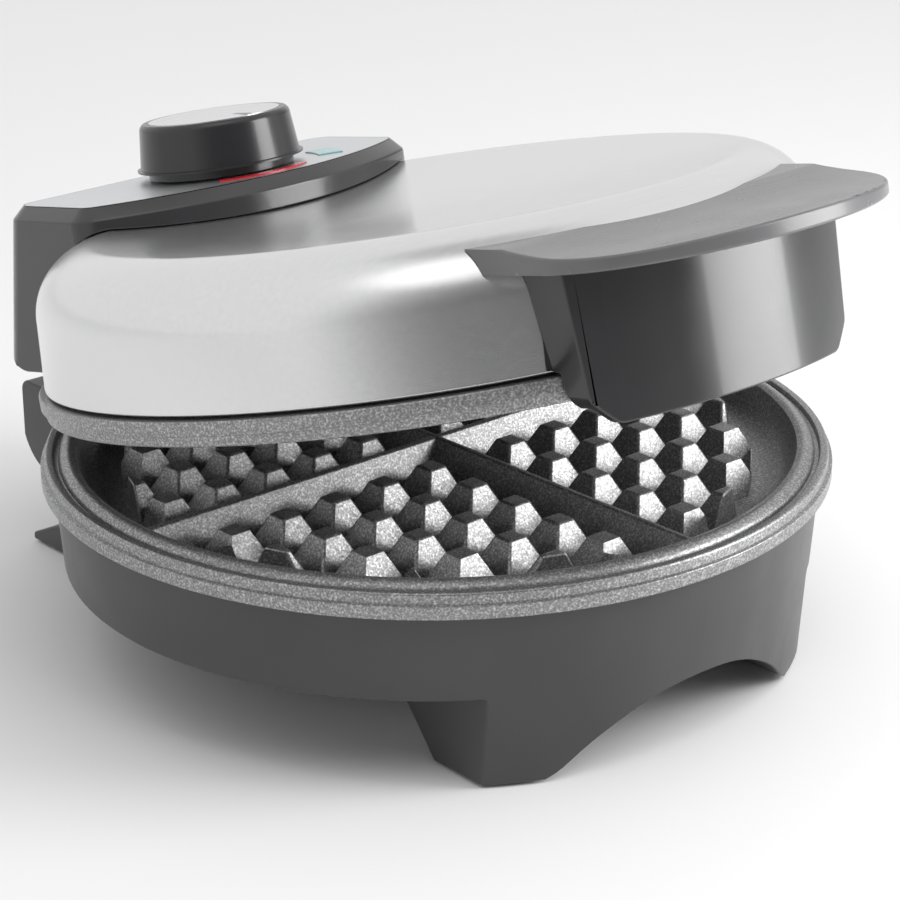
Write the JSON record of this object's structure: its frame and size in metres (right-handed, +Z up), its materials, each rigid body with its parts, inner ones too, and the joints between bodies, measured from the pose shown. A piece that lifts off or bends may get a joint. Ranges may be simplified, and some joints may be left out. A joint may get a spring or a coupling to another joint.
{
  "type": "waffle maker",
  "caption": "Round domed waffle maker with deep-grid plates, a rear hinged lid, a front handle with an apron, and a thermostat dial on a flat-topped housing.",
  "frame": {"origin": "on the table, on the vertical axis of the round plates", "axes": "+Z up from the table, -Y towards the handle at the front, +Y towards the hinge at the rear, +X to the right as seen from the handle"},
  "size_m": [0.204, 0.2439, 0.1401],
  "materials": {
    "dark_plastic": "satin",
    "cover_plastic": "fine grain",
    "screw_steel": "zinc plated",
    "foot_rubber": "matt",
    "plate_coating": "speckled non-stick coating on cast aluminium",
    "heater_steel": "oxidised",
    "reflector_aluminium": "bright",
    "standoff_ceramic": "matt",
    "black_plastic": "matt",
    "terminal_plastic": "matt",
    "fuse_metal": "satin",
    "dome_steel": "fine satin brushing",
    "carrier_metal": "satin",
    "housing_plastic": "gloss",
    "fascia_silver": "satin silver lacquer",
    "red_lens": "translucent",
    "green_lens": "translucent",
    "lamp_glass": "clear",
    "thermostat_body_ceramic": "matt",
    "grip_plastic": "gloss",
    "flange_plastic": "satin",
    "knob_plastic": "gloss",
    "cap_aluminium": "fine spun satin",
    "pointer_black": "gloss"
  },
  "bodies": {
    "base": {"base_shell": "dark_plastic", "bottom_cover": "cover_plastic", "bottom_cover_screws": "screw_steel", "rubber_feet": "foot_rubber", "lower_plate": "plate_coating", "lower_heating_element": "heater_steel", "lower_reflector": "reflector_aluminium", "lower_standoffs": "standoff_ceramic", "lower_plate_screws": "screw_steel", "cord_gland": "black_plastic", "terminal_block": "terminal_plastic", "thermal_fuse": "fuse_metal", "hinge_arm_right": "dark_plastic", "hinge_arm_left": "dark_plastic", "hinge_pins": "screw_steel"},
    "lid": {"lid_dome": "dome_steel", "lid_carrier": "carrier_metal", "upper_plate": "plate_coating", "upper_heating_element": "heater_steel", "upper_reflector": "reflector_aluminium", "upper_standoffs": "standoff_ceramic", "upper_plate_screws": "screw_steel", "dial_housing": "housing_plastic", "dial_fascia": "fascia_silver", "power_lens": "red_lens", "ready_lens": "green_lens", "power_lamp": "lamp_glass", "ready_lamp": "lamp_glass", "lid_hinge_bracket": "screw_steel", "lid_hinge_screws": "screw_steel", "housing_screws": "screw_steel", "thermostat_body": "thermostat_body_ceramic", "thermostat_bracket": "screw_steel", "thermostat_probe": "screw_steel", "handle_grip": "grip_plastic", "handle_top": "flange_plastic", "handle_screws": "screw_steel", "handle_bracket": "screw_steel"},
    "dial": {"dial_knob": "knob_plastic", "dial_cap": "cap_aluminium", "dial_pointer": "pointer_black", "dial_shaft": "screw_steel"}
  },
  "joints": [
    {"name": "lid_hinge", "type": "hinge", "parent": "base", "child": "lid", "pos_m": [0, 0.1033, 0.0708], "axis": [-1, 0, 0], "range_deg": [-12.7, 85.3]},
    {"name": "dial_turn", "type": "hinge", "parent": "lid", "child": "dial", "pos_m": [0, 0.08883, 0.10523], "axis": [0, 0.1908, 0.9816], "range_deg": [-135, 135]}
  ]
}
